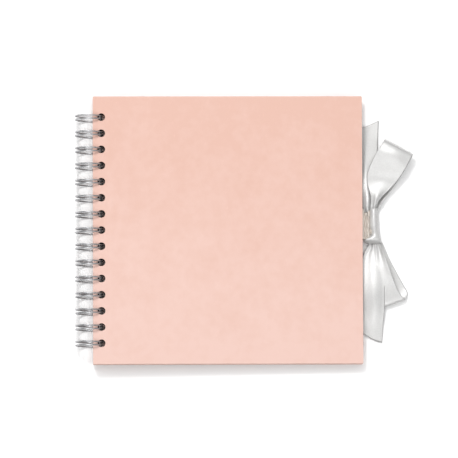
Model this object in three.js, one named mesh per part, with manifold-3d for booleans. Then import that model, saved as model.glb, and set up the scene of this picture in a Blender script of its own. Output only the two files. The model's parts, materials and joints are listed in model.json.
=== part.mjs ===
// A square guest book: two cloth-thin paper-covered boards and twenty loose card leaves on a twin-loop wire,
// closed at the fore-edge by two ribbons tied in a bow.
//
// Millimetres, +Z up. The book lies closed on its back cover with the wire on the -X side and the bow on the
// +X side, +Y towards the head. The origin is under the middle of the whole object, on the surface it lies on.
// The wire is thicker than the book, so the book leans: it rests on the wire and on the back cover's fore-edge.
import * as THREE from "three";
import { mergeVertices } from "three/addons/utils/BufferGeometryUtils.js";
import Module from "manifold-3d";

const wasm = await Module();
wasm.setup();

// Twin-loop wire of 7/8 inch, at two loops to the inch.
const PAIRS = 15;
const PITCH = 12.7;
const WIRE_DIAMETER = 1.4;
const WIRE_SIDES = 6;
const RING_OUTSIDE = 22.2;
const ROOT_SPACING = 3.3; // between a loop's two legs where they start
const TIP_SPACING = 2.1; // and where they meet in its tip
const ROOT_CORNER = 1.5; // radius of the bend from a leg into the straight between two loops
const SEAM_ANGLE = THREE.MathUtils.degToRad(310); // round the rings from the fore-edge side: under the back cover
const SEAM_HALF_ANGLE = THREE.MathUtils.degToRad(6); // half the slit between the loops' tips and their roots
const LEG_STEPS = 13;

// The punched row, measured from the axis of the rings.
const HOLE_DIAMETER = 5.8;
const HOLE_X = 9.7;
const SPINE_X = 3;
const LEAF_SPINE_X = 3.5;

// Covers: a board wrapped in paper that turns in over its edges, and an endpaper over the turn-ins.
const COVER_WIDTH = 211.5;
const COVER_HEIGHT = 210.5;
const BOARD_THICKNESS = 1.3;
const PAPER_THICKNESS = 0.15;
const RIBBON_BED = 0.2; // room for the ribbon's glued end between the turn-in and the endpaper
const GLUE_GAP = 0.05;
const TURN_IN = 15;
const ENDPAPER_MARGIN = 3;
const COVER_HOLE_SIDES = 8;

// Leaves of black card.
const LEAVES = 20;
const LEAF_THICKNESS = 0.3;
const LEAF_PITCH = 0.35;
const LEAF_MARGIN = 3; // the covers' overhang at head, tail and fore-edge
const LEAF_HOLE_SIDES = 6;

// Satin ribbon of one inch.
const RIBBON_WIDTH = 25;
const RIBBON_THICKNESS = 0.2;
const BOW_THICKNESS = 0.5; // the bow's folded ribbon is stiffer than one layer
const TAB_LENGTH = 30;
const BOW_Y = 5; // the bow is tied a little above the middle of the fore-edge
const KNOT_HALF_LENGTH = 13;
const KNOT_RADIUS = 4.6;
const KNOT_FLATTEN = 1.35;
const KNOT_X = 222.3;
const KNOT_Z = 5;
const BOW_REACH = 254.2; // from the rings' axis to the bow's outermost point

const RING_RADIUS = (RING_OUTSIDE - WIRE_DIAMETER) / 2;
const RING_HEIGHT = RING_OUTSIDE / 2;
const FORE_EDGE_X = SPINE_X + COVER_WIDTH;
const BLOCK_HALF = (LEAVES * LEAF_PITCH) / 2;

// Levels of a cover's layers above the middle of the book, from the inside out.
const ENDPAPER_IN = BLOCK_HALF + GLUE_GAP;
const ENDPAPER_OUT = ENDPAPER_IN + PAPER_THICKNESS;
const RIBBON_IN = ENDPAPER_OUT + GLUE_GAP;
const RIBBON_OUT = RIBBON_IN + RIBBON_BED;
const TURN_IN_LEVEL = RIBBON_OUT + GLUE_GAP;
const BOARD_IN = TURN_IN_LEVEL + PAPER_THICKNESS + GLUE_GAP;
const BOARD_OUT = BOARD_IN + BOARD_THICKNESS;
const COVER_OUT = BOARD_OUT + GLUE_GAP + PAPER_THICKNESS;

// The lean that brings the back cover's fore-edge down to the surface while the rings stand on it.
const LEAN =
  Math.asin(RING_HEIGHT / Math.hypot(FORE_EDGE_X, COVER_OUT)) - Math.atan2(COVER_OUT, FORE_EDGE_X);
const RING_AXIS_X = (RING_OUTSIDE / 2 - BOW_REACH) / 2; // centres the object on the origin

const coverPaper = new THREE.MeshStandardMaterial({ color: 0xf9d3c8, roughness: 0.75, metalness: 0 });
const greyBoard = new THREE.MeshStandardMaterial({ color: 0x9a958c, roughness: 0.95, metalness: 0 });
const blackCard = new THREE.MeshStandardMaterial({ color: 0x1b1a1c, roughness: 0.9, metalness: 0 });
const silverWire = new THREE.MeshStandardMaterial({ color: 0xc9c9cc, roughness: 0.25, metalness: 1 });
const whiteSatin = new THREE.MeshStandardMaterial({ color: 0xf4f3f1, roughness: 0.4, metalness: 0 });

function toSolid(geometry) {
  const bare = geometry.clone();
  bare.deleteAttribute("normal");
  bare.deleteAttribute("uv");
  const merged = mergeVertices(bare, 1e-4);
  return new wasm.Manifold(
    new wasm.Mesh({
      numProp: 3,
      vertProperties: new Float32Array(merged.attributes.position.array),
      triVerts: new Uint32Array(merged.index.array),
    }),
  );
}

function toGeometry(solid) {
  const mesh = solid.getMesh();
  const geometry = new THREE.BufferGeometry();
  geometry.setAttribute("position", new THREE.BufferAttribute(mesh.vertProperties, 3));
  geometry.setIndex(new THREE.BufferAttribute(mesh.triVerts, 1));
  geometry.computeVertexNormals();
  return geometry;
}

function named(name, geometry, material) {
  const mesh = new THREE.Mesh(geometry, material);
  mesh.name = name;
  return mesh;
}

function slab(low, high) {
  const size = new THREE.Vector3().subVectors(high, low);
  const middle = new THREE.Vector3().addVectors(low, high).multiplyScalar(0.5);
  return new THREE.BoxGeometry(size.x, size.y, size.z).translate(middle.x, middle.y, middle.z);
}

function holeY(index) {
  return (index - (PAIRS - 1) / 2) * PITCH;
}

// A punched sheet lying between two levels, with a hole of the given number of sides for each pair of loops.
function punchedSheet(x0, x1, height, level0, level1, sides) {
  const outline = new THREE.Shape();
  outline.moveTo(x0, -height / 2);
  outline.lineTo(x1, -height / 2);
  outline.lineTo(x1, height / 2);
  outline.lineTo(x0, height / 2);
  outline.closePath();
  for (let i = 0; i < PAIRS; i++) {
    const hole = new THREE.Path();
    for (let k = 0; k < sides; k++) {
      const angle = (-2 * Math.PI * k) / sides;
      const x = HOLE_X + (HOLE_DIAMETER / 2) * Math.cos(angle);
      const y = holeY(i) + (HOLE_DIAMETER / 2) * Math.sin(angle);
      if (k === 0) hole.moveTo(x, y);
      else hole.lineTo(x, y);
    }
    hole.closePath();
    outline.holes.push(hole);
  }
  const sheet = new THREE.ExtrudeGeometry(outline, { depth: level1 - level0, bevelEnabled: false });
  return sheet.translate(0, 0, level0);
}

function holePunches(level0, level1) {
  const length = level1 - level0;
  return Array.from({ length: PAIRS }, (_, i) =>
    toSolid(
      new THREE.CylinderGeometry(HOLE_DIAMETER / 2, HOLE_DIAMETER / 2, length, COVER_HOLE_SIDES)
        .rotateX(Math.PI / 2)
        .translate(HOLE_X, holeY(i), (level0 + level1) / 2),
    ),
  );
}

// The covering paper: the outer face, the four edges and the turn-ins, open inside for the board.
function wrappedPaper() {
  const half = COVER_HEIGHT / 2;
  const reach = 1; // how far a cutting tool stands clear of what it cuts
  const skin = PAPER_THICKNESS;
  const outside = slab(
    new THREE.Vector3(SPINE_X, -half, TURN_IN_LEVEL),
    new THREE.Vector3(FORE_EDGE_X, half, COVER_OUT),
  );
  const boardRoom = slab(
    new THREE.Vector3(SPINE_X + skin, -half + skin, TURN_IN_LEVEL + skin),
    new THREE.Vector3(FORE_EDGE_X - skin, half - skin, COVER_OUT - skin),
  );
  const window = slab(
    new THREE.Vector3(SPINE_X + TURN_IN, -half + TURN_IN, TURN_IN_LEVEL - reach),
    new THREE.Vector3(FORE_EDGE_X - TURN_IN, half - TURN_IN, BOARD_IN),
  );
  let paper = toSolid(outside).subtract(toSolid(boardRoom)).subtract(toSolid(window));
  for (const punch of holePunches(TURN_IN_LEVEL - reach, COVER_OUT + reach)) {
    paper = paper.subtract(punch);
  }
  return toGeometry(paper);
}

// A cover is built as the front one, above the middle of the book. The back one is the same, turned over.
function cover(side) {
  const group = new THREE.Group();
  const edge = PAPER_THICKNESS + GLUE_GAP;
  const board = punchedSheet(
    SPINE_X + edge,
    FORE_EDGE_X - edge,
    COVER_HEIGHT - 2 * edge,
    BOARD_IN,
    BOARD_OUT,
    COVER_HOLE_SIDES,
  );
  const endpaper = punchedSheet(
    SPINE_X + ENDPAPER_MARGIN / 2,
    FORE_EDGE_X - ENDPAPER_MARGIN,
    COVER_HEIGHT - 2 * ENDPAPER_MARGIN,
    ENDPAPER_IN,
    ENDPAPER_OUT,
    COVER_HOLE_SIDES,
  );
  group.add(named(`${side}_cover_paper`, wrappedPaper(), coverPaper));
  group.add(named(`${side}_board`, board, greyBoard));
  group.add(named(`${side}_endpaper`, endpaper, coverPaper));
  return group;
}

// Leaf 01 is the top one. Each is a loose card that only the wire holds.
function leaves() {
  const group = new THREE.Group();
  const card = punchedSheet(
    LEAF_SPINE_X,
    FORE_EDGE_X - LEAF_MARGIN,
    COVER_HEIGHT - 2 * LEAF_MARGIN,
    -LEAF_THICKNESS / 2,
    LEAF_THICKNESS / 2,
    LEAF_HOLE_SIDES,
  );
  for (let number = 1; number <= LEAVES; number++) {
    const leaf = named(`leaf_${String(number).padStart(2, "0")}`, card, blackCard);
    leaf.position.z = ((LEAVES + 1) / 2 - number) * LEAF_PITCH;
    group.add(leaf);
  }
  return group;
}

// A curve through given points, one step to each stretch, so that a sweep has its sections just there.
class Stations extends THREE.Curve {
  constructor(points) {
    super();
    this.points = points;
  }
  getPoint(t, target = new THREE.Vector3()) {
    const place = Math.min(Math.max(t, 0), 1) * (this.points.length - 1);
    const before = Math.min(Math.floor(place), this.points.length - 2);
    return target.lerpVectors(this.points[before], this.points[before + 1], place - before);
  }
  getPointAt(t, target) {
    return this.getPoint(t, target);
  }
  getTangentAt(t, target = new THREE.Vector3()) {
    const step = 0.5 / (this.points.length - 1);
    const ahead = this.getPoint(t + step);
    return target.subVectors(ahead, this.getPoint(t - step)).normalize();
  }
}

// The comb is one wire. Each loop starts under the back cover, goes round by the spine and over the top, down
// through the holes and back below the cover, where its tip faces the roots. Its legs draw together on the way.
function wirePoints() {
  const points = [];
  const root = SEAM_ANGLE - SEAM_HALF_ANGLE;
  const legStart = root - ROOT_CORNER / RING_RADIUS;
  const legEnd = SEAM_ANGLE - 2 * Math.PI + SEAM_HALF_ANGLE + TIP_SPACING / 2 / RING_RADIUS;
  const add = (angle, y) =>
    points.push(new THREE.Vector3(RING_RADIUS * Math.cos(angle), y, RING_RADIUS * Math.sin(angle)));
  const addLegPoint = (y, side, share) => {
    const spacing = ROOT_SPACING + (TIP_SPACING - ROOT_SPACING) * share;
    add(legStart + (legEnd - legStart) * share, y + (side * spacing) / 2);
  };
  const bend = Math.SQRT1_2;
  const cornerTurn = (ROOT_CORNER * (1 - bend)) / RING_RADIUS;
  const tipTurn = TIP_SPACING / 2 / RING_RADIUS;
  for (let i = 0; i < PAIRS; i++) {
    const y = holeY(i);
    const corner = ROOT_SPACING / 2 + ROOT_CORNER;
    if (i > 0) {
      add(root, y - corner);
      add(root - cornerTurn, y - corner + ROOT_CORNER * bend);
    }
    for (let k = 0; k <= LEG_STEPS; k++) addLegPoint(y, -1, k / LEG_STEPS);
    add(legEnd - tipTurn * bend, y - (TIP_SPACING / 2) * bend);
    add(legEnd - tipTurn, y);
    add(legEnd - tipTurn * bend, y + (TIP_SPACING / 2) * bend);
    for (let k = LEG_STEPS; k >= 0; k--) addLegPoint(y, 1, k / LEG_STEPS);
    if (i < PAIRS - 1) {
      add(root - cornerTurn, y + corner - ROOT_CORNER * bend);
      add(root, y + corner);
    }
  }
  return points;
}

function bindingWire() {
  const section = new THREE.Shape();
  for (let k = 0; k < WIRE_SIDES; k++) {
    const angle = (2 * Math.PI * k) / WIRE_SIDES;
    const x = (WIRE_DIAMETER / 2) * Math.cos(angle);
    const y = (WIRE_DIAMETER / 2) * Math.sin(angle);
    if (k === 0) section.moveTo(x, y);
    else section.lineTo(x, y);
  }
  section.closePath();
  const points = wirePoints();
  const wire = new THREE.ExtrudeGeometry(section, {
    steps: points.length - 1,
    extrudePath: new Stations(points),
  });
  return named("binding_wire", wire, silverWire);
}

// A strip of ribbon through stations of [centre, direction across, width], as a closed solid.
function ribbonStrip(stations, thickness) {
  const positions = [];
  const index = [];
  const last = stations.length - 1;
  stations.forEach(([centre, across, width], i) => {
    const ahead = stations[Math.min(i + 1, last)][0];
    const behind = stations[Math.max(i - 1, 0)][0];
    const along = new THREE.Vector3().subVectors(ahead, behind).normalize();
    const up = new THREE.Vector3().crossVectors(across, along).normalize();
    for (const [side, face] of [[-1, -1], [1, -1], [1, 1], [-1, 1]]) {
      const corner = centre.clone();
      corner.addScaledVector(across, (side * width) / 2).addScaledVector(up, (face * thickness) / 2);
      positions.push(corner.x, corner.y, corner.z);
    }
    if (i === 0) return;
    for (let k = 0; k < 4; k++) {
      const a = 4 * (i - 1) + k;
      const b = 4 * (i - 1) + ((k + 1) % 4);
      index.push(a, a + 4, b + 4, a, b + 4, b);
    }
  });
  const end = 4 * last;
  index.push(0, 1, 2, 0, 2, 3, end, end + 2, end + 1, end, end + 3, end + 2);
  const strip = new THREE.BufferGeometry();
  strip.setAttribute("position", new THREE.Float32BufferAttribute(positions, 3));
  strip.setIndex(index);
  strip.computeVertexNormals();
  return strip;
}

// Stations from a list of [x, y, z, width], all lying across the given direction.
function stationsAlong(list, across) {
  return list.map(([x, y, z, width]) => [new THREE.Vector3(x, y, z), across.clone().normalize(), width]);
}

// The ribbon glued into a cover at the fore-edge. The front one reaches out over the knot.
function coverRibbon(side) {
  const level = (RIBBON_IN + RIBBON_OUT) / 2;
  const across = new THREE.Vector3(0, 1, 0);
  const start = FORE_EDGE_X - TAB_LENGTH;
  const front = side === "front";
  const out = front ? 5 : 1.2; // how far it shows beyond the cover
  const middle = (start + FORE_EDGE_X) / 2;
  const list = [
    [start, BOW_Y, level, RIBBON_WIDTH],
    [middle, BOW_Y, level, RIBBON_WIDTH],
    [FORE_EDGE_X, BOW_Y, level, RIBBON_WIDTH],
    [FORE_EDGE_X + out, BOW_Y, level, RIBBON_WIDTH - out],
  ];
  return named(`${side}_ribbon`, ribbonStrip(stationsAlong(list, across), RIBBON_THICKNESS), whiteSatin);
}

function bowKnot() {
  const end = 0.74 * KNOT_RADIUS;
  const profile = [
    new THREE.Vector2(0, -KNOT_HALF_LENGTH),
    new THREE.Vector2(end, -KNOT_HALF_LENGTH),
    new THREE.Vector2(KNOT_RADIUS, -0.6 * KNOT_HALF_LENGTH),
    new THREE.Vector2(KNOT_RADIUS, 0.6 * KNOT_HALF_LENGTH),
    new THREE.Vector2(end, KNOT_HALF_LENGTH),
    new THREE.Vector2(0, KNOT_HALF_LENGTH),
  ];
  const knot = named("bow_knot", new THREE.LatheGeometry(profile, 10), whiteSatin);
  knot.scale.x = KNOT_FLATTEN;
  knot.position.set(KNOT_X, BOW_Y, KNOT_Z);
  return knot;
}

// A loop: out along the top, round at its far end and back underneath. The list is [along, level, width].
function bowLoop(name, start, direction, list) {
  const along = new THREE.Vector3(direction[0], direction[1], 0).normalize();
  const across = new THREE.Vector3(along.y, -along.x, 0);
  const stations = list.map(([distance, level, width]) => {
    const centre = new THREE.Vector3(start[0], start[1], level).addScaledVector(along, distance);
    return [centre, across, width];
  });
  return named(name, ribbonStrip(stations, BOW_THICKNESS), whiteSatin);
}

function bow() {
  const group = new THREE.Group();
  const top = BOW_Y + KNOT_HALF_LENGTH + 0.4;
  const bottom = BOW_Y - KNOT_HALF_LENGTH - 0.4;
  const upperLoop = [
    [1.8, 7.2, 8],
    [12, 11, 15],
    [28, 14, 21],
    [42, 13.6, 24],
    [48.5, 11.6, 24.5],
    [50.2, 9, 24.5],
    [48, 6.4, 24.5],
    [40, 5, 24],
    [24, 4.6, 20],
    [10, 4.6, 13],
    [1.8, 4.9, 8],
  ];
  const lowerLoop = [
    [1.8, 6.3, 8],
    [12, 7, 14],
    [28, 7.4, 19],
    [42, 6.8, 22],
    [48.5, 5.2, 23],
    [50, 3.6, 23],
    [48.5, 2, 23],
    [40, 0.9, 22],
    [24, 0.8, 18],
    [10, 1.6, 12],
    [1.8, 3.8, 8],
  ];
  const upperTail = [
    [220.4, top, 2.6, 7],
    [219.6, top + 12, 1.6, 9],
    [220.6, top + 30, 1.2, 11],
    [221.3, top + 50, 1.2, 12.6],
    [221.3, 84, 1.2, 12.6],
  ];
  const lowerTail = [
    [220.9, bottom, 8.4, 7],
    [222, bottom - 10, 9.6, 13],
    [223, bottom - 24, 9.8, 16],
    [223, bottom - 50, 7.4, 16],
    [222.4, bottom - 66, 3.4, 15],
    [222, -84, 1, 15],
  ];
  const across = new THREE.Vector3(1, 0, 0);
  const tail = (name, list) =>
    named(name, ribbonStrip(stationsAlong(list, across), BOW_THICKNESS), whiteSatin);
  group.add(bowKnot());
  group.add(bowLoop("bow_loop_upper", [223.9, top], [18.9, 46.8], upperLoop));
  group.add(bowLoop("bow_loop_lower", [224.5, bottom], [15, -48.4], lowerLoop));
  group.add(tail("bow_tail_upper", upperTail));
  group.add(tail("bow_tail_lower", lowerTail));
  return group;
}

function guestBook() {
  const book = new THREE.Group();
  const frontCover = cover("front");
  const backCover = cover("back");
  backCover.rotation.x = Math.PI;
  const backRibbon = coverRibbon("back");
  backRibbon.rotation.x = Math.PI;
  backRibbon.position.y = 2 * BOW_Y;
  book.add(frontCover, backCover, leaves(), bindingWire(), coverRibbon("front"), backRibbon);
  book.rotation.y = LEAN;
  book.position.z = RING_HEIGHT;
  const object = new THREE.Group();
  object.add(book, bow());
  object.position.x = RING_AXIS_X;
  return object;
}

export default guestBook();
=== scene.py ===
"""The looks of the wedding guest book: paper-covered boards, black leaves, silver twin-loop wire, satin bow.

Lengths are in millimetres until a mesh is made, and MM turns them into metres. "Book coordinates" lie in the
leaning book: u from the rings' axis to the fore-edge, v towards the head, w up through the thickness.
"Bow coordinates" start on the table under the middle of the knot, with x away from the book and y to the
head.
"""

import json
import math
import random

import bpy
import bmesh
from mathutils import Matrix, Vector


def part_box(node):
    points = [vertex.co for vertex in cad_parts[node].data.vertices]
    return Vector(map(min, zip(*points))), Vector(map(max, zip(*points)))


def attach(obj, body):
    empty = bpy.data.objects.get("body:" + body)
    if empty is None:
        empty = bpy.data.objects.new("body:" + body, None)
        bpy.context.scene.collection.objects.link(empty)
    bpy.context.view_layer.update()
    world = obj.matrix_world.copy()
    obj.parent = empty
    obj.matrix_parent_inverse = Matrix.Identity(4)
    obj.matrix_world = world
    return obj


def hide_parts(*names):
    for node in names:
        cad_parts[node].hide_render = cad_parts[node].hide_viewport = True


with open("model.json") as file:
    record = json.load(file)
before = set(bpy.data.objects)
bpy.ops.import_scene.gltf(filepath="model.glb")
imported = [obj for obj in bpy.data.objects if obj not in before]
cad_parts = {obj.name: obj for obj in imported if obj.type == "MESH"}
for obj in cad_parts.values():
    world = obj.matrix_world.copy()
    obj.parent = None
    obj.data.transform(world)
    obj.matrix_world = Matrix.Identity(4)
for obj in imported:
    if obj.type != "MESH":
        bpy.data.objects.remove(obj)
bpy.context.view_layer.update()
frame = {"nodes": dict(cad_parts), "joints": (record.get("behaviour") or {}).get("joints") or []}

MM = 0.001
SEED = 7

# Twin-loop wire, as the part's own.
PAIRS = 15
PITCH = 12.7
WIRE_RADIUS = 0.62  # a little under the part's 0.7, so that four wires can be told apart at each hole
RING_RADIUS = 10.4
ROOT_SPACING = 3.3
TIP_SPACING = 2.1
ROOT_CORNER = 1.5
SEAM_ANGLE = math.radians(310)
SEAM_HALF_ANGLE = math.radians(6)
LEG_STEPS = 60
RING_WANDER = 0.15
ARC_STEPS = 6  # to a quarter of a circle

# The punched row and the covers' make-up.
HOLE_RADIUS = 2.9
HOLE_STEPS = 40
HOLE_U = 9.7
PAPER = 0.15
GLUE = 0.05
TURN_IN = 15
COVER_CORNER = 0.9
COVER_EDGE = 0.35
WINDOW_CORNER = 0.3
WINDOW_DEPTH = 2.0
ENDPAPER_CORNER = 0.4
SHARP_CORNER = 0.05
LEAF_CORNER = 0.6
LEAF_EDGE = 0.04
LEAF_SLIDE = (-0.2, 1.0)  # how far the loose leaves have slid towards the fore-edge
LEAF_PLAY = 0.1  # and how far they lie off their place towards the head or the tail

RIBBON_WIDTH = 25
RIBBON_THICKNESS = 0.22
RIBS = 28  # cross ribs to a ribbon width
THREADS = 90
SELVAGE = (0.455, 0.475)  # where the selvage rises, in ribbon widths from the middle

# The camera looks down on the cover through a long lens, from a little towards the tail.
CAMERA_DISTANCE = 4.5
CAMERA_TILT = math.radians(5)
FIELD = 0.359  # what the camera sees across, at the cover
CAMERA_OFFSET = (0.00095, 0.0007)
CAMERA_ROLL = math.radians(-0.225)
SENSOR = 36.0

# The studio around the table as (height of a ray, brightness): a white backdrop behind the table's far edge,
# a dark band above it, bright walls of cloth higher up, and a dim ceiling straight overhead.
STUDIO = ((0, 1.0), (0.05, 1.0), (0.1, 0.08), (0.35, 0.08), (0.78, 0.82), (0.9, 0.82), (0.97, 0.2), (1, 0.2))
TABLE_HALF = 1.1  # metres


def the_joint(name):
    return next(joint for joint in frame["joints"] if joint["name"] == name)


OPENING = the_joint("cover_open")
LEAN = math.radians((OPENING["range_deg"][1] - 180) / 2)
BOOK = Matrix.Translation(Vector(OPENING["pos_m"])) @ Matrix.Rotation(LEAN, 4, "Y")
KNOT_LOW, KNOT_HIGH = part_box("bow_knot")
BOW = Matrix.Translation(((KNOT_LOW.x + KNOT_HIGH.x) / 2, (KNOT_LOW.y + KNOT_HIGH.y) / 2, 0))


def book_box(node):
    """The lowest and highest corner of a CAD node in book coordinates, in millimetres."""
    back = BOOK.inverted()
    points = [back @ vertex.co / MM for vertex in frame["nodes"][node].data.vertices]
    low = Vector([min(point[axis] for point in points) for axis in range(3)])
    high = Vector([max(point[axis] for point in points) for axis in range(3)])
    return low, high


# ---------------------------------------------------------------------------------------------- materials


class Nodes:
    """A material's node tree, with short calls for the nodes that the finishes here use."""

    def __init__(self, name):
        self.material = bpy.data.materials.new(name)
        self.material.use_nodes = True
        self.tree = self.material.node_tree
        self.shader = self.tree.nodes["Principled BSDF"]
        self.place = self.tree.nodes.new("ShaderNodeTexCoord").outputs["Object"]

    def link(self, output, target):
        self.tree.links.new(output, target)

    def add(self, kind, **settings):
        node = self.tree.nodes.new(kind)
        for key, value in settings.items():
            setattr(node, key, value)
        return node

    def noise(self, scale, detail=2.0, roughness=0.5, stretch=None):
        """Noise of so many features to the metre, stretched along an axis if wanted."""
        node = self.add("ShaderNodeTexNoise")
        node.inputs["Scale"].default_value = scale
        node.inputs["Detail"].default_value = detail
        node.inputs["Roughness"].default_value = roughness
        source = self.place
        if stretch:
            mapping = self.add("ShaderNodeMapping")
            mapping.inputs["Scale"].default_value = stretch
            self.link(source, mapping.inputs["Vector"])
            source = mapping.outputs["Vector"]
        self.link(source, node.inputs["Vector"])
        return node.outputs["Fac"]

    def span(self, value, low, high, new_low, new_high):
        """value between low and high, carried to between new_low and new_high, and held there beyond."""
        node = self.add("ShaderNodeMapRange")
        self.link(value, node.inputs["Value"])
        for key, number in zip(
            ("From Min", "From Max", "To Min", "To Max"), (low, high, new_low, new_high)
        ):
            node.inputs[key].default_value = number
        return node.outputs["Result"]

    def math(self, operation, first, second=None):
        node = self.add("ShaderNodeMath", operation=operation)
        for socket, value in zip(node.inputs, (first, second)):
            if value is None:
                continue
            if isinstance(value, (int, float)):
                socket.default_value = value
            else:
                self.link(value, socket)
        return node.outputs["Value"]

    def mix(self, share, first, second):
        """first and second are colours as triples, or outputs; share goes from first to second."""
        node = self.add("ShaderNodeMix", data_type="RGBA")
        self.link(share, node.inputs["Factor"])
        for socket, value in ((node.inputs[6], first), (node.inputs[7], second)):
            if isinstance(value, tuple):
                socket.default_value = (*value, 1)
            else:
                self.link(value, socket)
        return node.outputs[2]

    def bump(self, height, distance, strength=1.0, under=None):
        node = self.add("ShaderNodeBump")
        node.inputs["Distance"].default_value = distance
        node.inputs["Strength"].default_value = strength
        self.link(height, node.inputs["Height"])
        if under:
            self.link(under, node.inputs["Normal"])
        return node.outputs["Normal"]

    def finish(self, color=None, roughness=None, normal=None, **fixed):
        for key, value in (("Base Color", color), ("Roughness", roughness), ("Normal", normal)):
            if value is not None:
                self.link(value, self.shader.inputs[key])
        for key, value in fixed.items():
            self.shader.inputs[key.replace("_", " ")].default_value = value
        return self.material


def cover_paper_material(name, low, high, pale, deep):
    """Uncoated covering paper: cloudy tone, painted light that makes it paler towards the tail, fine felt
    grain, fibres, and rubbed edges.
    """
    n = Nodes(name)
    place = n.add("ShaderNodeSeparateXYZ")
    n.link(n.place, place.inputs["Vector"])
    # Painted light: the tone runs from deep at the head to pale at the tail, as the light falls on the cover.
    painted_light_to_tail = n.span(place.outputs["Y"], low.y * MM, high.y * MM, 1, 0)
    clouds = n.span(n.noise(38, 3, 0.6), 0.3, 0.7, -0.2, 0.2)
    patches = n.span(n.noise(140, 3, 0.55), 0.35, 0.65, -0.15, 0.15)
    tone = n.mix(n.math("ADD", painted_light_to_tail, n.math("ADD", clouds, patches)), deep, pale)
    fibres = n.span(n.noise(900, 2, 0.6, stretch=(1, 0.35, 1)), 0.62, 0.78, 0, 0.25)
    tone = n.mix(fibres, tone, tuple(min(1.0, channel * 1.12) for channel in pale))
    tone = n.mix(edge_wear(n, low, high), tone, tuple(min(1.0, channel * 1.1) for channel in pale))
    grain = n.bump(n.noise(2600, 3, 0.65), 0.00004, 0.5)
    felt = n.bump(n.noise(420, 2, 0.5), 0.00008, 0.35, under=grain)
    rough = n.span(n.noise(300, 2), 0.3, 0.7, 0.55, 0.68)
    return n.finish(tone, rough, felt, Specular_IOR_Level=0.35)


def edge_wear(n, low, high):
    """Near 1 within about a millimetre of the cover's outline, broken up by noise, and 0 elsewhere."""
    place = n.add("ShaderNodeSeparateXYZ")
    n.link(n.place, place.inputs["Vector"])
    nearest = None
    for axis, (start, end) in enumerate(zip(low[:2], high[:2])):
        middle, half = (start + end) / 2 * MM, (end - start) / 2 * MM
        off_middle = n.math("ABSOLUTE", n.math("SUBTRACT", place.outputs[axis], middle))
        inside = n.math("SUBTRACT", half, off_middle)
        nearest = inside if nearest is None else n.math("MINIMUM", nearest, inside)
    band = n.span(nearest, 0.0001, 0.0012, 1, 0)
    return n.math("MULTIPLY", band, n.span(n.noise(500, 3, 0.6), 0.4, 0.65, 0.1, 0.6))


def endpaper_material(name):
    n = Nodes(name)
    tone = n.mix(n.span(n.noise(60, 3), 0.3, 0.7, 0, 1), (0.66, 0.47, 0.41), (0.69, 0.50, 0.44))
    flecks = n.span(n.noise(1500, 2, 0.6, stretch=(0.4, 1, 1)), 0.62, 0.75, 0, 0.3)
    tone = n.mix(flecks, tone, (0.76, 0.63, 0.59))
    grain = n.bump(n.noise(3200, 3, 0.6), 0.00003, 0.5)
    return n.finish(tone, n.span(n.noise(350), 0.3, 0.7, 0.7, 0.85), grain)


def board_material():
    """Grey pulp board, toned darker as painted shade for the walls of the punched holes, with its plies
    showing at the cut edges.
    """
    n = Nodes("dark_board_painted_shade")
    pulp = n.noise(1400, 4, 0.7)
    # Partly the board's own grey, partly painted shade: the tone is held near black so that the hole walls
    # read dark.
    tone = n.mix(n.span(pulp, 0.35, 0.7, 0, 1), (0.07, 0.066, 0.06), (0.15, 0.142, 0.13))
    plies = n.noise(90, 2, 0.5, stretch=(1, 1, 45))
    tone = n.mix(n.span(plies, 0.45, 0.6, 0, 0.5), tone, (0.10, 0.094, 0.085))
    return n.finish(tone, n.span(pulp, 0.3, 0.7, 0.85, 1), n.bump(pulp, 0.0001, 0.6))


def card_material():
    """Black card: near black, with faint lighter fibres and a toothy surface."""
    n = Nodes("black_card")
    fibres = n.noise(1800, 3, 0.65, stretch=(0.5, 1, 1))
    tone = n.mix(n.span(n.noise(70, 3), 0.3, 0.7, 0, 1), (0.006, 0.0058, 0.006), (0.011, 0.0105, 0.011))
    tone = n.mix(n.span(fibres, 0.62, 0.8, 0, 0.3), tone, (0.04, 0.038, 0.039))
    tooth = n.bump(n.noise(2400, 3, 0.6), 0.00005, 0.6)
    return n.finish(tone, n.span(fibres, 0.3, 0.7, 0.72, 0.9), tooth, Specular_IOR_Level=0.15)


def wire_material():
    """Bright plated wire, with faint drawing lines and dulling where the loops were pressed."""
    n = Nodes("silver_wire")
    dull = n.noise(260, 3, 0.6)
    tone = n.mix(n.span(dull, 0.35, 0.7, 0, 1), (0.49, 0.49, 0.5), (0.38, 0.38, 0.39))
    lines = n.noise(5200, 2, 0.5, stretch=(0.15, 1, 0.15))
    rough = n.span(dull, 0.3, 0.75, 0.34, 0.44)
    return n.finish(tone, rough, n.bump(lines, 0.000012, 0.5), Metallic=0.85)


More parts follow.
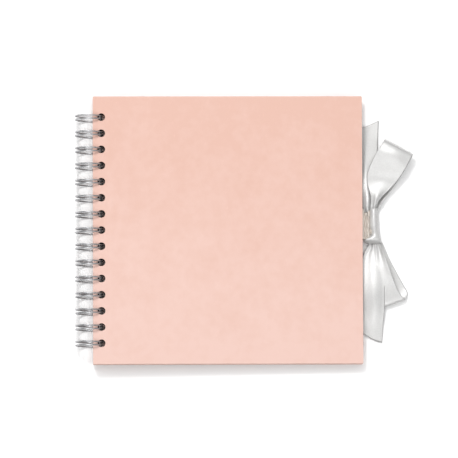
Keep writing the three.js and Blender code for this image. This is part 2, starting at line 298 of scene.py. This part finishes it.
def satin_material(name, pale, deep):
    """Satin ribbon: fine cross ribs, a long sheen, and a firm selvage along both edges."""
    n = Nodes(name)
    weave = n.add("ShaderNodeUVMap", uv_map="ribbon").outputs["UV"]
    split = n.add("ShaderNodeSeparateXYZ")
    n.link(weave, split.inputs["Vector"])
    ribs = n.math("SINE", n.math("MULTIPLY", split.outputs["Y"], 2 * math.pi * RIBS))
    threads = n.math("SINE", n.math("MULTIPLY", split.outputs["X"], 2 * math.pi * THREADS))
    slub = n.noise(900, 3, 0.6)
    edge = n.math("ABSOLUTE", n.math("SUBTRACT", split.outputs["X"], 0.5))
    selvage = n.span(edge, *SELVAGE, 0, 1)
    cloth = n.math("ADD", n.math("MULTIPLY", ribs, 0.6), n.math("MULTIPLY", threads, 0.25))
    cloth = n.math("ADD", cloth, n.math("MULTIPLY", slub, 1.4))
    normal = n.bump(cloth, 0.00003, 0.4)
    normal = n.bump(selvage, 0.00012, 0.6, under=normal)
    tone = n.mix(n.span(slub, 0.3, 0.7, 0, 0.4), pale, deep)
    tone = n.mix(n.span(ribs, -1, 1, 0, 0.35), tone, deep)
    rough = n.span(slub, 0.3, 0.7, 0.4, 0.5)
    tangent = n.add("ShaderNodeTangent", direction_type="UV_MAP", uv_map="ribbon")
    n.link(tangent.outputs["Tangent"], n.shader.inputs["Tangent"])
    return n.finish(
        tone,
        rough,
        normal,
        Metallic=0.42,
        Anisotropic=0.6,
        Sheen_Weight=0.15,
        Sheen_Roughness=0.4,
        Specular_IOR_Level=0.6,
    )


# ---------------------------------------------------------------------------------------------- making


def link_object(name, mesh, matrix, material):
    """A mesh that was made in millimetres becomes an object in the row frame."""
    mesh.name = name
    mesh.transform(Matrix.Scale(MM, 4))
    mesh.materials.clear()
    mesh.materials.append(material)
    piece = bpy.data.objects.new(name, mesh)
    piece.matrix_world = matrix
    bpy.context.scene.collection.objects.link(piece)
    return piece


def evaluated_mesh(source):
    """A mesh of source with its modifiers applied. source is removed."""
    graph = bpy.context.evaluated_depsgraph_get()
    mesh = bpy.data.meshes.new_from_object(source.evaluated_get(graph))
    bpy.data.objects.remove(source)
    return mesh


def temporary(data):
    source = bpy.data.objects.new("temporary", data)
    bpy.context.scene.collection.objects.link(source)
    return source


def arc(centre, radius, start, end, steps):
    """Points along an arc in the plane, both ends included."""
    points = []
    for k in range(steps + 1):
        angle = start + (end - start) * k / steps
        points.append((centre[0] + radius * math.cos(angle), centre[1] + radius * math.sin(angle)))
    return points


def rounded_outline(low, high, corner):
    points = []
    for index, (x, y) in enumerate(((high.x, high.y), (low.x, high.y), (low.x, low.y), (high.x, low.y))):
        centre = (x - math.copysign(corner, x - (low.x + high.x) / 2),
                  y - math.copysign(corner, y - (low.y + high.y) / 2))
        start = index * math.pi / 2
        points += arc(centre, corner, start, start + math.pi / 2, ARC_STEPS)
    return points


def hole_v(index):
    return (index - (PAIRS - 1) / 2) * PITCH


def plate(low, high, corner, edge=0.0, hole_radius=HOLE_RADIUS):
    """A flat sheet between two corners in book coordinates, with rounded corners, soft edges and holes."""
    inset = Vector((edge, edge, 0))
    outlines = [rounded_outline(low + inset, high - inset, max(corner - edge, SHARP_CORNER))]
    if hole_radius:
        for index in range(PAIRS):
            outlines.append(arc((HOLE_U, hole_v(index)), hole_radius + edge, 0, 2 * math.pi, HOLE_STEPS)[:-1])
    curve = bpy.data.curves.new("outline", "CURVE")
    curve.dimensions = "2D"
    curve.fill_mode = "BOTH"
    curve.extrude = (high.z - low.z) / 2 - edge
    curve.bevel_depth = edge
    curve.bevel_resolution = 2
    for outline in outlines:
        spline = curve.splines.new("POLY")
        spline.points.add(len(outline) - 1)
        for point, (x, y) in zip(spline.points, outline):
            point.co = (x, y, 0, 1)
        spline.use_cyclic_u = True
    mesh = evaluated_mesh(temporary(curve))
    mesh.transform(Matrix.Translation((0, 0, (low.z + high.z) / 2)))
    weld(mesh)
    return mesh


def weld(mesh):
    """Joins points that coincide and turns every face outwards."""
    work = bmesh.new()
    work.from_mesh(mesh)
    bmesh.ops.remove_doubles(work, verts=work.verts, dist=1e-4)
    bmesh.ops.recalc_face_normals(work, faces=work.faces)
    work.to_mesh(mesh)
    work.free()


def cut(mesh, tools):
    """mesh with the tool meshes taken away."""
    body = temporary(mesh)
    cutters = [temporary(tool) for tool in tools]
    for cutter in cutters:
        modifier = body.modifiers.new("cut", "BOOLEAN")
        modifier.operation = "DIFFERENCE"
        modifier.solver = "EXACT"
        modifier.object = cutter
    result = evaluated_mesh(body)
    for cutter in cutters:
        bpy.data.objects.remove(cutter)
    return result


def soften(piece):
    """Smooth shading over the small edges, with the flat faces kept flat."""
    piece.data.shade_smooth()
    modifier = piece.modifiers.new("flat faces", "WEIGHTED_NORMAL")
    modifier.weight = 100


def grown(low, high, amount):
    """The box grown sideways by an amount, with its levels kept."""
    step = Vector((amount, amount, 0))
    return low - step, high + step


# ---------------------------------------------------------------------------------------------- the book


def make_cover_paper(side, material):
    """The covering paper is a shell: outer face, rounded edges, turn-ins, and open inside the turn-ins."""
    name = f"{side}_cover_paper"
    low, high = book_box(name)
    board_low, board_high = book_box(f"{side}_board")
    outside = plate(low, high, COVER_CORNER, COVER_EDGE)
    room_low, room_high = grown(board_low, board_high, GLUE)
    room_low.z -= GLUE
    room_high.z += GLUE
    room = plate(room_low, room_high, COVER_CORNER - PAPER, 0, 0)
    window_low, window_high = grown(low, high, -TURN_IN)
    depth = WINDOW_DEPTH if side == "front" else -WINDOW_DEPTH
    inner = low.z if side == "front" else high.z
    window_low.z, window_high.z = sorted((inner - depth, inner + depth / 4))
    window = plate(window_low, window_high, WINDOW_CORNER, 0, 0)
    piece = link_object(name + "_fine", cut(outside, [room, window]), BOOK, material)
    soften(piece)
    return piece


def make_sheet(node, material, corner, edge=0.0, shift=(0.0, 0.0)):
    low, high = book_box(node)
    mesh = plate(low, high, corner, edge)
    mesh.transform(Matrix.Translation((shift[0], shift[1], 0)))
    return link_object(node + "_fine", mesh, BOOK, material)


def settle(piece, body, slot, *nodes):
    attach(piece, body)
    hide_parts(*nodes)


def make_covers():
    board = board_material()
    endpaper = endpaper_material("endpaper")
    for side in ("front", "back"):
        low, high = book_box(f"{side}_cover_paper")
        paper = cover_paper_material(
            f"{side}_cover_paper_finish", low, high, (0.70, 0.485, 0.425), (0.645, 0.41, 0.338)
        )
        body = f"{side}_cover"
        settle(make_cover_paper(side, paper), body, "cover_paper", f"{side}_cover_paper")
        settle(make_sheet(f"{side}_board", board, COVER_CORNER - PAPER), body, "board", f"{side}_board")
        lining = make_sheet(f"{side}_endpaper", endpaper, ENDPAPER_CORNER)
        settle(lining, body, "cover_paper", f"{side}_endpaper")


def make_leaves():
    card = card_material()
    rng = random.Random(SEED)
    leaves = sorted(name for name in frame["nodes"] if name.startswith("leaf_"))
    for name in leaves:
        shift = (rng.uniform(*LEAF_SLIDE), rng.uniform(-LEAF_PLAY, LEAF_PLAY))
        piece = make_sheet(name, card, LEAF_CORNER, LEAF_EDGE, shift)
        settle(piece, name, "card", name)


def wire_route():
    """The comb as one line of points, wandering a little from loop to loop as bent wire does."""
    rng = random.Random(SEED + 1)
    root = SEAM_ANGLE - SEAM_HALF_ANGLE
    leg_start = root - ROOT_CORNER / RING_RADIUS
    leg_end = SEAM_ANGLE - 2 * math.pi + SEAM_HALF_ANGLE + TIP_SPACING / 2 / RING_RADIUS
    points = []

    def add(angle, v):
        points.append(Vector((RING_RADIUS * math.cos(angle), v, RING_RADIUS * math.sin(angle))))

    def leg(v, side, bow_out):
        steps = range(LEG_STEPS + 1) if side < 0 else range(LEG_STEPS, -1, -1)
        for k in steps:
            share = k / LEG_STEPS
            spacing = ROOT_SPACING + (TIP_SPACING - ROOT_SPACING) * share
            wander = bow_out * math.sin(math.pi * share) ** 2
            add(leg_start + (leg_end - leg_start) * share, v + side * spacing / 2 + wander)

    def turn(angle, v, radius, start, end):
        for u, y in arc((0, 0), radius, start, end, ARC_STEPS):
            add(angle + u / RING_RADIUS, v + y)

    quarter = math.pi / 2
    for index in range(PAIRS):
        v = hole_v(index)
        reach = ROOT_SPACING / 2 + ROOT_CORNER
        if index > 0:
            turn(leg_start, v - reach, ROOT_CORNER, 0, quarter)
        leg(v, -1, rng.uniform(-RING_WANDER, RING_WANDER))
        turn(leg_end, v, TIP_SPACING / 2, -quarter, -3 * quarter)
        leg(v, 1, rng.uniform(-RING_WANDER, RING_WANDER))
        if index < PAIRS - 1:
            turn(leg_start, v + reach, ROOT_CORNER, -quarter, 0)
    return points


def make_wire():
    curve = bpy.data.curves.new("wire", "CURVE")
    curve.dimensions = "3D"
    curve.bevel_depth = WIRE_RADIUS
    curve.bevel_resolution = 6
    curve.use_fill_caps = True
    route = wire_route()
    spline = curve.splines.new("POLY")
    spline.points.add(len(route) - 1)
    for point, place in zip(spline.points, route):
        point.co = (*place, 1)
    mesh = evaluated_mesh(temporary(curve))
    weld(mesh)
    piece = link_object("binding_wire_fine", mesh, BOOK, wire_material())
    piece.data.shade_smooth()
    settle(piece, "binding_wire", "wire", "binding_wire")


# ---------------------------------------------------------------------------------------------- the ribbons


def smooth(points, steps):
    """A smooth line through the points, with so many steps to each stretch."""
    count = len(points)
    dimension = len(points[0])
    lengths = [max(math.dist(a, b), 1e-6) for a, b in zip(points, points[1:])]

    def slope(i):
        before, after = max(i - 1, 0), min(i + 1, count - 1)
        run = sum(lengths[before:after])
        return [(points[after][d] - points[before][d]) / run for d in range(dimension)]

    line = []
    for i in range(count - 1):
        start, end, run = slope(i), slope(i + 1), lengths[i]
        for k in range(steps):
            t = k / steps
            h1, h2 = 2 * t**3 - 3 * t**2 + 1, t**3 - 2 * t**2 + t
            h3, h4 = -2 * t**3 + 3 * t**2, t**3 - t**2
            line.append([
                h1 * points[i][d] + h2 * run * start[d] + h3 * points[i + 1][d] + h4 * run * end[d]
                for d in range(dimension)
            ])
    line.append(list(points[-1]))
    return line


def ribbon_grid(stations, pleats, across_steps, along_steps=7):
    """Rows of points of a ribbon through its stations. A station is its pleats' depth and 3 points or more
    across the ribbon."""
    rows = [smooth(station[1:], across_steps) for station in stations]
    columns = [smooth([row[k] for row in rows], along_steps) for k in range(len(rows[0]))]
    depths = smooth([(station[0],) for station in stations], along_steps)
    grid = [[Vector(column[i]) for column in columns] for i in range(len(columns[0]))]
    last_row, last = len(grid) - 1, len(grid[0]) - 1
    pleated = []
    for i, row in enumerate(grid):
        new_row = []
        for k, point in enumerate(row):
            along = grid[min(i + 1, last_row)][k] - grid[max(i - 1, 0)][k]
            across = row[min(k + 1, last)] - row[max(k - 1, 0)]
            normal = across.cross(along).normalized()
            wave = math.cos(2 * math.pi * pleats * k / last)
            new_row.append(point + normal * depths[i][0] * wave)
        pleated.append(new_row)
    return pleated


def ribbon_mesh(name, grid):
    """The grid as a mesh with thickness, and a UV map in ribbon widths along and across."""
    mesh = bpy.data.meshes.new(name)
    width = len(grid[0])
    faces = []
    for i in range(len(grid) - 1):
        for k in range(width - 1):
            a = i * width + k
            faces.append((a, a + 1, a + 1 + width, a + width))
    mesh.from_pydata([point for row in grid for point in row], [], faces)
    middle = [row[width // 2] for row in grid]
    run = [0.0]
    for a, b in zip(middle, middle[1:]):
        run.append(run[-1] + (b - a).length)
    uv = mesh.uv_layers.new(name="ribbon")
    for loop in mesh.loops:
        row, column = divmod(loop.vertex_index, width)
        uv.data[loop.index].uv = (column / (width - 1), run[row] / RIBBON_WIDTH)
    source = temporary(mesh)
    solid = source.modifiers.new("thickness", "SOLIDIFY")
    solid.thickness = RIBBON_THICKNESS
    solid.offset = 0
    return evaluated_mesh(source), run[-1]


def make_ribbon(name, stations, body, satin, nodes=(), matrix=BOW, pleats=2.5, across_steps=12, rests_on=()):
    mesh, length = ribbon_mesh(name, ribbon_grid(stations, pleats, across_steps))
    piece = link_object(name, mesh, matrix, satin)
    piece.data.shade_smooth()
    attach(piece, body)
    if nodes:
        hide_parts(*nodes)
    return piece


UPPER_LOOP = [
    (0.4, (-1.4, 9, 5.6), (-0.1, 8.8, 6.6), (1.4, 8.6, 5.6)),
    (0.4, (-1, 14, 8.4), (1, 13.8, 9.8), (2.8, 13.4, 8.6)),
    (0.3, (-1, 21, 9.2), (2.6, 20.6, 11.4), (7, 20, 9.6)),
    (0.1, (-3.7, 31.5, 8.6), (5, 29.2, 9.8), (13.6, 26.8, 9)),
    (0, (-3.9, 38.5, 9.4), (7, 34.6, 9.6), (17.6, 31, 8.8)),
    (0, (-2.3, 44, 11.2), (9.6, 39.6, 10.8), (21, 35, 9.2)),
    (0, (2.4, 54, 14.4), (14, 48.4, 14.2), (25.8, 42, 11.2)),
    (0, (6.4, 59.8, 15), (17.6, 54, 15.2), (28.8, 47.8, 12)),
    (0, (9.6, 65, 13.6), (20.6, 59.2, 13.8), (31.7, 53.2, 11.2)),
    (0, (10.2, 66.3, 10.6), (21.3, 60.5, 10.6), (32.4, 54.5, 8.8)),
    (0, (10, 65.9, 7.4), (21.2, 60.1, 7.2), (32.3, 54.2, 6.6)),
    (0, (8.4, 63, 4.8), (19.8, 57.4, 4.6), (31, 51.4, 4.6)),
    (0, (3, 53, 4.2), (14, 48, 3.8), (25.4, 41.8, 4)),
    (0, (-1.5, 42, 4.2), (8.8, 37.6, 3.6), (19.4, 32.6, 4.2)),
    (0.3, (-1.8, 31, 4.6), (6, 28.6, 4), (14.6, 26, 4.8)),
    (0.9, (-0.5, 20, 5.2), (3.6, 19.2, 5.2), (8.6, 18, 5.8)),
    (0.6, (0.4, 9, 3.6), (1.8, 8.8, 4.4), (3.2, 8.6, 4)),
]

LOWER_LOOP = [
    (0.6, (0.5, -12.6, 4.6), (2.2, -12.6, 5.6), (4, -13, 5)),
    (0.8, (0.2, -21, 3.4), (4, -21, 4.6), (8.2, -21, 5.2)),
    (0.4, (-1.8, -33, 4.4), (5, -33, 6), (12.6, -33.2, 6.8)),
    (0.1, (-3.2, -45, 5), (7, -43.5, 6.6), (16.2, -43.8, 7)),
    (0, (-2, -57, 5), (9, -54, 6.6), (20, -53, 7)),
    (0, (0.6, -65, 4.8), (12.5, -61.4, 6), (24.2, -59.2, 6.2)),
    (0, (1.2, -67.6, 3.4), (13.2, -64.2, 4.6), (25.4, -60, 4.6)),
    (0, (1, -66.8, 1.8), (13.4, -63.4, 2.4), (26.4, -58.6, 3.2)),
    (0, (0.8, -62, 0.9), (14, -58, 1), (27.5, -54, 1.8)),
    (0, (0, -54, 0.8), (12.4, -50.6, 0.8), (24.9, -48.9, 1)),
    (0, (-1.6, -42, 0.8), (8, -40, 0.8), (18.7, -37.4, 1)),
    (0.3, (-1, -30, 1), (5, -28.6, 1.2), (13.2, -26.8, 1.6)),
    (0.8, (1, -20, 1.6), (4.6, -19, 2), (9.2, -17.5, 2.4)),
    (0.6, (2.6, -12.6, 3), (4.6, -12.4, 3.6), (6.4, -12, 3.4)),
]

UPPER_TAIL = [
    (0.5, (-3, 8.6, 3.4), (-5.8, 8.8, 4), (-5.8, 9, 5.8), (-4.1, 9.2, 6.6), (-2.4, 9, 5.6)),
    (0.5, (-2, 13, 3), (-7.2, 13, 3.6), (-7.3, 13, 6.6), (-4.2, 13, 8.2), (-1, 13, 6.4)),
    (0.5, (-2, 21, 2.2), (-8.2, 21, 3.4), (-8, 21, 6), (-4, 21, 7.6), (-0.4, 21, 5.6)),
    (0.5, (-5.6, 31, 2), (-8.9, 31, 4), (-8.6, 31, 5.6), (-4.6, 31, 5), (0.4, 31, 3.4)),
    (0.35, (-9, 42, 3.6), (-9.2, 42, 5.8), (-8.2, 42, 5), (-4.6, 42, 3), (1.8, 42, 2)),
    (0.15, (-9.3, 56, 8.2), (-9.1, 56, 5.8), (-7.8, 56, 3.8), (-4.4, 56, 1.4), (4.5, 56, 0.9)),
    (0, (-9.4, 68, 8.6), (-9.1, 68.4, 6), (-7.8, 69, 3.4), (-4.2, 71, 1.1), (5.4, 74, 0.7)),
    (0, (-9.4, 73.6, 8.6), (-9, 74.4, 6), (-7.7, 75.6, 3.4), (-4, 77.4, 1.1), (5.8, 81.9, 0.7)),
]

LOWER_TAIL = [
    (0.7, (-2.6, -12.6, 2.6), (-1.6, -12.6, 3.8), (0, -12.6, 4.4), (1.6, -12.6, 4)),
    (0.6, (-3.6, -17.5, 2), (-2.2, -17.5, 3.2), (0.4, -17.5, 3.9), (3, -17.5, 3.8)),
    (0.5, (-7, -25, 1.8), (-6.4, -24.4, 3.2), (-1, -24.6, 4.2), (6.6, -25, 4.4)),
    (0.45, (-8.9, -38, 3.4), (-8.4, -38, 5.2), (-1, -38.5, 6.6), (9.1, -39, 6.4)),
    (0.4, (-8.9, -54, 3.6), (-8.6, -54, 6.2), (-0.5, -54, 8), (9.3, -54, 7.2)),
    (0.3, (-9.1, -67, 3.2), (-8.6, -67, 5.2), (-0.5, -68, 6.6), (9.3, -67, 5.6)),
    (0.1, (-9.3, -79, 3.8), (-8.2, -79, 3.6), (-0.5, -80, 3.6), (8.1, -80, 3)),
    (0, (-9.2, -84.4, 3.6), (-8, -85.6, 3.1), (0.2, -91, 1.6), (7.1, -93.4, 1.2)),
]


def knot_band_section(y, left, right, crest):
    """The knot's smooth band across: a flattened tube of ribbon, its edges lapped underneath."""
    middle = (left + right) / 2
    return (
        0,
        (middle + 0.9, y, 1.8),
        (left + 0.7, y, 2.2),
        (left, y, crest - 4.2),
        (left + 0.5, y, crest - 1.6),
        (middle - 0.2, y, crest),
        (right - 0.8, y, crest - 1.5),
        (right, y, crest - 4.6),
        (right - 0.8, y, 1.6),
    )


KNOT_BAND = [
    knot_band_section(13.4, -0.6, 3.4, 6.8),
    knot_band_section(12, -1.3, 4, 8.6),
    knot_band_section(6, -1.8, 4.5, 9.4),
    knot_band_section(-2, -1.9, 4.8, 9.6),
    knot_band_section(-8, -0.9, 5.2, 9.4),
    knot_band_section(-10.6, -3, 6, 9.8),
    knot_band_section(-12.8, -6.6, 6.8, 9.6),
    knot_band_section(-14.8, -5.6, 7.2, 8),
    knot_band_section(-15.6, -3.6, 7, 6.2),
]

KNOT_BACK = [
    (0.9, (-1.4, 14.5, 3.8), (-3, 14.5, 4.6), (-5, 14.5, 3.6), (-5.4, 14.5, 1.8), (-3, 14.5, 0.9)),
    (0.7, (-0.8, 8, 6.2), (-3, 8, 7), (-5.8, 8, 5.2), (-6, 8, 2), (-3, 8, 0.9)),
    (0.8, (-0.6, 1, 7), (-3.2, 1, 7.8), (-6.2, 1, 5.8), (-6.4, 1, 1.8), (-3, 1, 0.8)),
    (0.8, (-0.6, -4.5, 7.2), (-3.4, -5, 8), (-6.4, -5.6, 6.2), (-6.6, -5.6, 1.8), (-3, -5, 0.8)),
    (1, (-0.8, -6.5, 7.2), (-3, -8.2, 8), (-5.4, -10, 6.4), (-5.6, -10, 1.8), (-2.6, -8, 0.8)),
    (1, (-0.9, -7.6, 7), (-1.9, -10, 7.4), (-3, -12.4, 6), (-3, -12.4, 1.8), (-1.6, -9, 0.8)),
]


def cover_ribbon_stations(node, free_end):
    """The ribbon's glued end lies flat in the cover, then its free end gathers towards the knot. free_end
    lists pleats' depth, distance beyond the cover's edge, level above the glued end, and width."""
    low, high = book_box(node)
    middle_v, level = (low.y + high.y) / 2, (low.z + high.z) / 2
    edge = book_box("front_board")[1].x
    glued = [(0, beyond, 0, RIBBON_WIDTH) for beyond in (low.x - edge, (low.x - edge) / 2, -1)]
    stations = []
    for depth, beyond, rise, width in glued + free_end:
        low_v = middle_v - RIBBON_WIDTH / 2
        row = [(edge + beyond, low_v + share * width, level + rise) for share in (0, 0.5, 1)]
        stations.append((depth, *row))
    return stations


FRONT_RIBBON_END = [
    (0.1, 1, -0.1, 24),
    (0.2, 1.9, -0.9, 21),
    (0.25, 2.8, 0, 19.5),
    (0.3, 3.7, -1, 18.5),
    (0.3, 4.9, -0.2, 18),
    (0.3, 6.4, -2, 17.5),
]

BACK_RIBBON_END = [
    (0.1, 1, 0.1, 24),
    (0.3, 2, 0.7, 22),
    (0.4, 3.2, 1.6, 20),
    (0.4, 4.4, 2.2, 18),
]


def make_bow():
    satin = satin_material("white_satin", (0.62, 0.617, 0.61), (0.49, 0.487, 0.48))
    # A shaded copy of the white satin: its beige tone is painted shade with a painted pink reflection from
    # the cover, for the knot's back and the gathered ribbon ends.
    inner = satin_material("satin_painted_warm_shade", (0.60, 0.55, 0.50), (0.48, 0.43, 0.38))
    bow, knot = "back_cover", ["bow_knot"]
    for node, stations, shape in (
        ("bow_loop_upper", UPPER_LOOP, {"pleats": 1.5}),
        ("bow_loop_lower", LOWER_LOOP, {"pleats": 1.5}),
        ("bow_tail_upper", UPPER_TAIL, {"across_steps": 8}),
        ("bow_tail_lower", LOWER_TAIL, {"pleats": 2}),
    ):
        make_ribbon(f"{node}_fine", stations, bow, satin, [node], rests_on=knot, **shape)
    make_ribbon("bow_knot_band", KNOT_BAND, bow, satin, ["bow_knot"], across_steps=6)
    make_ribbon("bow_knot_back", KNOT_BACK, bow, inner, pleats=4)
    for side, free_end in (("front", FRONT_RIBBON_END), ("back", BACK_RIBBON_END)):
        stations = cover_ribbon_stations(f"{side}_ribbon", free_end)
        make_ribbon(
            f"{side}_ribbon_fine", stations, f"{side}_cover", inner, [f"{side}_ribbon"], BOOK, rests_on=knot
        )


# ---------------------------------------------------------------------------------------------- the studio


def make_floor():
    """A plain white table."""
    mesh = bpy.data.meshes.new("floor")
    corners = [(x * TABLE_HALF, y * TABLE_HALF, 0) for x, y in ((-1, -1), (1, -1), (1, 1), (-1, 1))]
    mesh.from_pydata(corners, [], [(0, 1, 2, 3)])
    floor = bpy.data.objects.new("floor", mesh)
    bpy.context.scene.collection.objects.link(floor)
    n = Nodes("white_table")
    tone = n.mix(n.noise(3, 2), (0.95, 0.95, 0.95), (0.96, 0.96, 0.96))
    mesh.materials.append(n.finish(tone, Specular_IOR_Level=0.1))
    n.shader.inputs["Roughness"].default_value = 0.9


def area_light(name, direction, distance, size, power):
    data = bpy.data.lights.new(name, "AREA")
    data.shape = "SQUARE"
    data.size = size
    data.energy = power
    light = bpy.data.objects.new(name, data)
    place = Vector(direction).normalized() * distance
    light.location = place
    light.rotation_euler = (-place).to_track_quat("-Z", "Y").to_euler()
    bpy.context.scene.collection.objects.link(light)


def make_light():
    """A small key light from beyond the head, cloth around it, a fill from the tail, and the white studio."""
    area_light("key", (-0.2, 0.54, 1), 1.8, 0.3, 10)
    area_light("key_around", (-0.1, 0.4, 1), 1.8, 1.4, 14)
    area_light("fill", (0.1, -0.6, 1), 2.2, 1.2, 14)
    world = bpy.data.worlds.new("studio")
    world.use_nodes = True
    tree = world.node_tree
    place = tree.nodes.new("ShaderNodeTexCoord")
    split = tree.nodes.new("ShaderNodeSeparateXYZ")
    tree.links.new(place.outputs["Generated"], split.inputs["Vector"])
    ramp = tree.nodes.new("ShaderNodeValToRGB")
    tree.links.new(split.outputs["Z"], ramp.inputs["Fac"])
    stops = ramp.color_ramp.elements
    for height, _ in STUDIO[1:-1]:
        stops.new(height)
    for stop, (_, brightness) in zip(stops, STUDIO):
        stop.color = (brightness, brightness, brightness, 1)
    tree.links.new(ramp.outputs["Color"], tree.nodes["Background"].inputs["Color"])
    bpy.context.scene.world = world
    bpy.context.scene.view_settings.view_transform = "Standard"


def make_camera():
    low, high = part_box("front_cover_paper")
    data = bpy.data.cameras.new("camera")
    data.sensor_width = SENSOR
    data.lens = SENSOR * CAMERA_DISTANCE / FIELD
    data.clip_start = 0.05
    target = (low + high) / 2 + Vector((*CAMERA_OFFSET, 0))
    camera = bpy.data.objects.new("camera", data)
    turn = Matrix.Rotation(CAMERA_ROLL, 3, "Z") @ Matrix.Rotation(CAMERA_TILT, 3, "X")
    camera.location = target + turn @ Vector((0, 0, CAMERA_DISTANCE))
    camera.rotation_euler = turn.to_euler()
    bpy.context.scene.collection.objects.link(camera)
    bpy.context.scene.camera = camera


make_camera()
make_floor()
make_light()
make_covers()
make_leaves()
make_wire()
make_bow()
